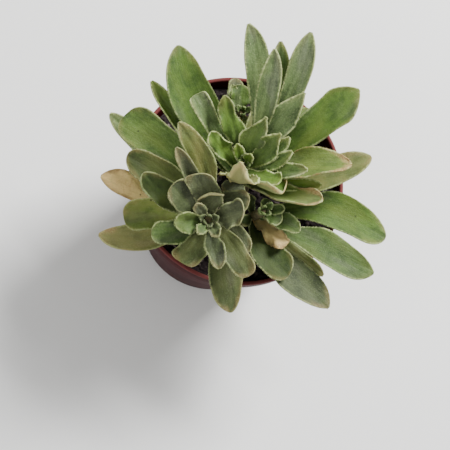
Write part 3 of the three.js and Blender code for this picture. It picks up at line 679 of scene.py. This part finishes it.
def stemFinish():
    # brown-green bark: noise squeezed into rings, with pale flecks
    f = Finish("stemBark", Roughness=0.8)
    rings, flecks = f.noise(f.squeezed(4.0), 420.0, 4.0, 0.6), f.noise(f.place(), 1500.0, 2.0, 0.6)
    colour = f.mix(rings.step(0.35, 0.65), stemLook["dark"], stemLook["light"])
    f.set(Base_Color=f.mix(flecks.step(0.6, 0.75) * 0.5, colour, stemLook["fleck"]))
    f.bump(rings + flecks * 0.5, 0.6, 0.0005)
    return f.material

leafMaterial, hairMaterial, stemMaterial = leafFinish(), hairFinish(), stemFinish()
for key, plant in leafyStems.items():
    leaves, fuzz = Bunch(), Bunch()
    random = np.random.default_rng(hairs["seed"] + len(key))
    rows = [(shape, 1.7 * k) for k, shape in enumerate(plant["leaves"])] + list(heartLeaves(plant))
    for shape, seed in rows:
        addLeaf(leaves, plant, shape, seed)
        addHairs(fuzz, plant, shape, seed, random)
    dress(leaves.finish(key + "Leaves"), [plant["node"]], leafMaterial)
    dress(fuzz.finish(key + "Hairs"), [], hairMaterial)
    dress(makeStem(key + "Stem", plant), [plant["node"]], stemMaterial)
    print(key, "rosette:", len(rows), "leaves")

fallen, fallenFuzz, shape, seed = Bunch(), Bunch(), witheredLeaf["shape"], witheredLeaf["seed"]
addLeaf(fallen, witheredLeaf, shape, seed)
addHairs(fallenFuzz, witheredLeaf, shape, seed, np.random.default_rng(witheredLeaf["hairSeed"]))
dress(fallen.finish("witheredLeaf"), ["withered_leaf"], leafMaterial)
dress(fallenFuzz.finish("witheredLeafHairs"), [], hairMaterial)
print("withered leaf")

# Pot

potShape = {
    "height": 72, "rimRadius": 42.5, "wall": 1.2, "lip": 1.5, "baseRadius": 30,   # mm
    "bandHeight": 8, "bandStep": 1.6,     # the thicker band below the lip, and how far it stands out
    "bandLean": 0.6, "bandUnder": 0.8,    # how far it leans in at its foot, and its sloping underside
    "innerUnder": 1.2, "innerRise": 0.4,  # inside, below and above the foot of the band
    "floor": 3.4, "floorCorner": 0.6,
    "padRadius": 13, "footWidth": 4, "footInset": 0.2, "recess": 2.2, "recessSlope": 1,
    "footRound": 0.3, "recessRound": 0.4, "bandRound": 0.5, "baseRound": 1.3,   # radii of corners
    "sides": 160, "cornerPoints": 5,      # fineness of the mesh
    "drainCount": 8, "drainRadius": 2.5, "drainRing": 19.5, "drainSides": 24,
    "drill": (-3.0, 9.0),                 # from under the pot to above its floor
    "dark": srgb(44, 5, 8), "light": srgb(60, 12, 15), "dust": srgb(120, 84, 78),
    # the pale pink colour is a painted highlight for the lip
    "splash": srgb(48, 38, 34), "paintedLipHighlight": srgb(160, 92, 88),
    "paintedHighlightHeights": (0.0706, 0.0718),       # height over which the lip gets a painted highlight, m
}

def roundedProfile(corners):
    # replaces each corner (r, z, radius) by a short arc, as a quadratic curve through it
    corners = np.array(corners, float)
    points = [corners[0, :2]]
    t = np.linspace(0, 1, potShape["cornerPoints"])[:, None]
    for before, here, after in zip(corners, corners[1:], corners[2:]):
        toBefore, toAfter = before[:2] - here[:2], after[:2] - here[:2]
        cut = min(here[2], 0.45 * np.linalg.norm(toBefore), 0.45 * np.linalg.norm(toAfter))
        a, b = here[:2] + unit(toBefore) * cut, here[:2] + unit(toAfter) * cut
        points.extend((1 - t) ** 2 * a + 2 * t * (1 - t) * here[:2] + t ** 2 * b)
    points.append(corners[-1, :2])
    return np.array(points)

def turnedPiece(name, profile, sides):
    # a profile (r, z) from axis to axis turned round Z, with one point at each pole
    radius, height = profile[1:-1, 0][:, None], profile[1:-1, 1][:, None]
    points = around(radius, ringAngles(sides), height)
    return makePiece(name, closedTube(points), *tubeFaces(len(points), sides))

def makeDrills(s):
    # one upright rod for each drainage hole, evenly round a ring
    drills, sides = Bunch(), s["drainSides"]
    rod = np.stack([around(s["drainRadius"], ringAngles(sides), z) for z in s["drill"]])
    for angle in ringAngles(s["drainCount"]) + np.pi / s["drainCount"]:
        drills.add(closedTube(rod + around(s["drainRing"], angle, 0)), *tubeFaces(2, sides))
    return drills.finish("drills", smooth=False)

def makePot(s):
    # the pot's own profile turned round, with its drainage holes cut by one Boolean
    band, rim, lip, lean = s["height"] - s["bandHeight"], s["rimRadius"], s["lip"], s["bandLean"]
    wallTop, groove = rim - s["bandStep"] - lean, s["baseRadius"] - s["footWidth"]
    base, inner = s["baseRadius"] - s["footInset"], s["baseRadius"] - s["wall"]
    corners = [
        (0, 0, 0), (s["padRadius"], 0, s["footRound"]),
        (s["padRadius"] + s["recessSlope"], s["recess"], s["recessRound"]),
        (groove - s["recessSlope"], s["recess"], s["recessRound"]), (groove, 0, s["footRound"]),
        (base, 0, s["baseRound"]), (wallTop, band - s["bandUnder"], s["bandRound"]),
        (rim - lean, band, s["bandRound"]), (rim, s["height"], lip / 2),
        (rim - lip, s["height"], lip / 2), (rim - lean - lip, band + s["innerRise"], s["bandRound"]),
        (wallTop - s["wall"], band - s["innerUnder"], s["bandRound"]),
        (inner, s["floor"], s["baseRound"]), (0, s["floor"], 0),
    ]
    pot, drill = turnedPiece("potShell", roundedProfile(corners), s["sides"]), makeDrills(s)
    cut = pot.modifiers.new("drain", "BOOLEAN")
    cut.operation, cut.solver, cut.object = "DIFFERENCE", "EXACT", drill
    cutMesh = bpy.data.meshes.new_from_object(pot.evaluated_get(bpy.context.evaluated_depsgraph_get()))
    pot.modifiers.clear()
    pot.data = cutMesh
    bpy.data.objects.remove(drill)
    return pot

def potFinish(s):
    # dark red-brown plastic with fine moulding marks round it, dust, soil splashes and a painted
    # highlight on the lip
    f = Finish("potPlastic", IOR=1.2, Specular_IOR_Level=0.2)
    place = f.place()
    marks, dust = f.noise(f.squeezed(4.0), 40.0, 2.0, 0.5), f.noise(place, 55.0, 5.0, 0.6)
    grain, splash = f.noise(place, 1800.0, 2.0, 0.5), f.noise(place, 420.0, 3.0, 0.7)
    colour = f.mix(marks.step(0.3, 0.7), s["dark"], s["light"])
    colour = f.mix(dust.step(0.60, 0.80) * 0.15, colour, s["dust"])
    colour = f.mix(splash.step(0.70, 0.76) * 0.6, colour, s["splash"])
    # painted highlight: the top of the lip mixed towards pale pink, patchy with the dust noise
    lip = f.node("SeparateXYZ", out="Z", Vector=place).step(*s["paintedHighlightHeights"])
    colour = f.mix(lip * (0.1 + 0.45 * dust), colour, s["paintedLipHighlight"])
    f.set(Base_Color=colour, Roughness=0.42 + 0.18 * dust)
    f.bump(grain * 0.5 + marks * 0.3, 0.2, 0.0002)
    return f.material

dress(makePot(potShape), ["pot"], potFinish(potShape))
print("pot")

# Soil

soilShape = {
    "top": 67, "relief": 1.1, "sunk": 0.35, "gap": 0.5,   # mm; gap is the clearance to the pot
    "broad": (0.55, 0.48), "slant": (0.9, -0.7), "fine": (1.3, 0.8), "shares": (0.6, 0.4),   # lumps
    # height, mm, rate per mm, shift, seed and cells of the noise, from coarse to fine
    "noise": [(0.7, 0.35, 40, 11, 64), (0.42, 0.9, 70, 12, 128), (0.2, 2.2, 90, 13, 256)],
    "shoulder": 0.2, "foot": 0.8,         # step below the pot's own, and the bottom's edge
    "rings": 110, "sides": 220,
    "dark": srgb(22, 17, 18), "light": srgb(48, 39, 40), "grit": srgb(96, 84, 84),
}

def soilHeight(x, y):
    # three crossed waves, as on the solid, and noise from lumps down to grit
    s = soilShape
    lumps = np.sin(s["broad"][0] * x + 1.1) * np.cos(s["broad"][1] * y)
    lumps = lumps + s["shares"][0] * np.sin(s["slant"][0] * y + s["slant"][1] * x)
    lumps = lumps + s["shares"][1] * np.cos(s["fine"][0] * x + s["fine"][1] * y)
    height = s["top"] + s["relief"] * lumps / 2 - s["sunk"]
    for size, rate, shift, seed, cells in s["noise"]:
        height = height + size * latticeNoise(x * rate + shift, y * rate + shift, seed, cells)
    return height

def onSoil(radius, angle):
    # points on the soil's top, at a radius and at an angle round Z
    x, y = radius * np.cos(angle), radius * np.sin(angle)
    return np.stack([x, y, soilHeight(x, y)], -1)

def makeSoil(s, pot):
    # rings of the lumpy top, then the tapered side and the flat underside
    top = pot["rimRadius"] - pot["bandLean"] - pot["lip"] - s["gap"]
    shoulder = pot["rimRadius"] - pot["bandStep"] - pot["bandLean"] - pot["wall"] - s["gap"]
    low = pot["baseRadius"] - pot["wall"] - pot["floorCorner"] - s["gap"]
    step = pot["height"] - pot["bandHeight"] - pot["innerUnder"] - s["shoulder"]
    bottom, angle = pot["floor"] + s["gap"], ringAngles(s["sides"])
    rows = [onSoil(top * np.linspace(0, 1, s["rings"] + 1)[1:, None], angle)]
    for r, z in [(shoulder, step), (low, bottom + s["foot"]), (low - s["foot"], bottom)]:
        rows.append(around(r, angle, z)[None])
    points = np.concatenate(rows)
    poles = np.vstack([onSoil(0, np.zeros(1)), [[0, 0, bottom]]])
    faces = tubeFaces(len(points), s["sides"], flip=True)
    return makePiece("soilBed", np.vstack([points.reshape(-1, 3), poles]), *faces)

def soilFinish():
    # near-black peat with paler, warm grit
    f = Finish("peat", Roughness=0.95, Specular_IOR_Level=0.2)
    coarse, fine = f.noise(f.place(), 500.0, 4.0, 0.65), f.noise(f.place(), 1900.0, 3.0, 0.6)
    colour = f.mix(coarse.step(0.35, 0.65), soilShape["dark"], soilShape["light"])
    f.set(Base_Color=f.mix(fine.step(0.62, 0.74) * 0.6, colour, soilShape["grit"]))
    f.bump(coarse + fine * 0.6, 0.9, 0.0008)
    return f.material

dress(makeSoil(soilShape, potShape), ["soil"], soilFinish())

# Loose bits: how many, how big and how flat, in mm, and their darkest and palest colours
bits = {
    "crumb": {"count": 900, "size": (0.35, 1.25), "squash": 0.7,
              "colours": (srgb(24, 19, 19), srgb(74, 62, 60))},
    "perliteGrain": {"count": 26, "size": (0.3, 0.8), "squash": 0.8,
                     "colours": (srgb(150, 146, 140), srgb(214, 212, 206))},
    "fibre": {"count": 260, "long": (2.0, 6.5), "wide": (0.16, 0.5), "thick": (0.08, 0.2),
              "bend": 0.5, "lift": 0.12, "loose": 0.35, "fullness": 1.89, "steps": 7,
              "reach": 37.5, "limit": 39.0, "colours": (srgb(40, 32, 32), srgb(124, 110, 108))},
    "reach": 38.5, "ring": 7, "levels": (-0.6, 0.0, 0.6), "seed": 21,
    "uneven": (0.72, 1.25), "narrow": (0.5, 0.9), "turn": 6.28, "tilt": 0.4, "rise": 0.2,   # lumps
}

def scatter(random, count, reach):
    # places spread evenly over the soil: the radius goes as the root of a random share
    return onSoil(reach * np.sqrt(random.random(count)), 2 * np.pi * random.random(count))

def addLumps(bunch, random, kind):
    # balls of three rings, each point pushed in or out at random, squashed, turned and half sunk
    places = scatter(random, kind["count"], bits["reach"])
    sizes = random.uniform(*kind["size"], kind["count"])
    ring, levels = bits["ring"], np.array(bits["levels"])
    ball = around(np.sqrt(1 - levels ** 2)[:, None], ringAngles(ring), levels[:, None])
    ball = np.vstack([ball.reshape(-1, 3), [[0, 0, -1], [0, 0, 1]]])
    quads, caps = tubeFaces(len(levels), ring)
    for place, size in zip(places, sizes):
        lump = ball * random.uniform(*bits["uneven"], (len(ball), 1))
        lump = lump * np.array([1.0, random.uniform(*bits["narrow"]), kind["squash"]]) * size
        turn = Matrix.Rotation(random.uniform(0, bits["turn"]), 3, "Z")
        turn = np.array(turn @ Matrix.Rotation(random.normal(0, bits["tilt"]), 3, "X"))
        centre = place + [0, 0, bits["rise"] * size]
        bunch.add(lump @ turn.T + centre, quads, caps, kind=random.random())

def addFibre(bunch, random, place):
    # a flat splinter along an arc on the soil, widest in its middle as an ellipse
    kind = bits["fibre"]
    steps, long = kind["steps"], random.uniform(*kind["long"])
    heading, bend = random.uniform(0, 2 * np.pi), random.normal(0, kind["bend"])
    t = np.linspace(-0.5, 0.5, steps)
    angle = heading + bend * t
    line = np.cumsum(np.stack([np.cos(angle), np.sin(angle)], -1) * long / steps, axis=0)
    line = line - line.mean(0) + place[:2]
    if (np.linalg.norm(line, axis=1) > kind["limit"]).any():
        return
    height = soilHeight(line[:, 0], line[:, 1])
    height = np.maximum(height, np.linspace(height[0], height[-1], steps))
    height = height + kind["lift"] + random.uniform(0, kind["loose"])
    side = np.stack([-np.sin(angle), np.cos(angle)], -1)
    taper = np.sqrt(np.maximum(1 - (kind["fullness"] * t) ** 2, 0.05))
    wide = random.uniform(*kind["wide"]) * taper
    thick = random.uniform(*kind["thick"])
    corners = [(1, thick), (-1, thick), (-1, -thick), (1, -thick)]
    points = [np.column_stack([line + side * (w * wide)[:, None], height + h]) for w, h in corners]
    ends = np.array([[3, 2, 1, 0], 4 * steps - np.array([4, 3, 2, 1])])
    quads = np.vstack([gridFaces(steps, 4)[:, ::-1], ends])
    bunch.add(np.stack(points, 1).reshape(-1, 3), quads, kind=random.random())

def bitFinish(name, colours):
    # each bit has its own tone between dark and light, with some grain
    f = Finish(name, Roughness=0.9, Specular_IOR_Level=0.25)
    kind, = f.attributes("kind")
    grain = f.noise(f.place(), 1400.0, 3.0, 0.6)
    f.set(Base_Color=f.mix(kind ** 2.0 * 0.85 + grain * 0.35 - 0.1, *colours))
    f.bump(grain, 0.6, 0.0004)
    return f.material

random = np.random.default_rng(bits["seed"])
crumbs, fibres, perlite = Bunch(), Bunch(), Bunch()
addLumps(crumbs, random, bits["crumb"])
addLumps(perlite, random, bits["perliteGrain"])
for place in scatter(random, bits["fibre"]["count"], bits["fibre"]["reach"]):
    addFibre(fibres, random, place)
for name, bunch, kind in (("soilCrumbs", crumbs, "crumb"), ("soilFibres", fibres, "fibre"),
                          ("perlite", perlite, "perliteGrain")):
    piece = bunch.finish(name, smooth=kind != "fibre")
    dress(piece, [], bitFinish(kind, bits[kind]["colours"]))
print("soil with", bits["crumb"]["count"], "crumbs")

barkShape = {
    "at": (-6, 33, 69.5), "size": (7, 4.5, 3), "rings": 26, "sides": 44,
    "wave": 0.08, "rough": 0.06, "colours": (srgb(30, 25, 28), srgb(86, 76, 84)),
}

def makeBarkChip(s):
    # a ball pushed in and out by a product of waves and by noise, then stretched
    polar = np.pi * np.linspace(0, 1, s["rings"] + 2)[1:-1, None]
    ball = around(np.sin(polar), ringAngles(s["sides"]), np.cos(polar))
    x, y, z = np.moveaxis(ball, -1, 0)
    push = 1 + s["wave"] * np.sin(5 * x + 2 * y) * np.cos(4 * z + y)
    push = push + s["rough"] * latticeNoise(x * 3 + 20, y * 3 + z * 4 + 20, 31)
    points = (ball * push[..., None]).reshape(-1, 3)
    points = np.vstack([points, [[0, 0, 1], [0, 0, -1]]]) * np.array(s["size"]) / 2 + s["at"]
    return makePiece("barkChip", points, *tubeFaces(s["rings"], s["sides"], flip=True))

dress(makeBarkChip(barkShape), ["bark_chip"], bitFinish("barkSkin", barkShape["colours"]))
print("bark chip")

# Floor and lights

studio = {
    "floor": 3.0, "floorColours": (srgb(238, 238, 236), srgb(240, 240, 238)),   # m
    "sky": (1.0, 1.0, 1.0, 1.0), "skyStrength": 0.5, "aim": (0, 0, 0.08),
    "lights": [   # place in m, width in m, watts
        ("key", (0.45, 0.4, 0.8), 0.35, 22.0), ("fill", (-0.7, -0.5, 0.7), 0.9, 4.0),
    ],
}

def makeStudio(s):
    # a wide pale floor, an even sky and soft square lamps that face the plant
    half = s["floor"] / 2 / mm
    corners = np.array([[-half, -half, 0], [half, -half, 0], [half, half, 0], [-half, half, 0]])
    floor = makePiece("floor", corners, np.array([[0, 1, 2, 3]]), smooth=False)
    f = Finish("floorPaper", Roughness=0.9)
    f.set(Base_Color=f.mix(f.noise(f.place(), 300.0, 3.0, 0.5), *s["floorColours"]))
    floor.data.materials.append(f.material)
    world = bpy.data.worlds.new("sky")
    world.use_nodes = True
    world.node_tree.nodes["Background"].inputs["Color"].default_value = s["sky"]
    world.node_tree.nodes["Background"].inputs["Strength"].default_value = s["skyStrength"]
    bpy.context.scene.world = world
    for name, place, width, power in s["lights"]:
        data = bpy.data.lights.new(name, "AREA")
        data.size, data.energy = width, power
        lamp = bpy.data.objects.new(name, data)
        lamp.location = place
        lamp.rotation_euler = (Vector(s["aim"]) - Vector(place)).to_track_quat("-Z", "Y").to_euler()
        bpy.context.scene.collection.objects.link(lamp)

makeStudio(studio)
print("studio")

bpy.context.view_layer.update()
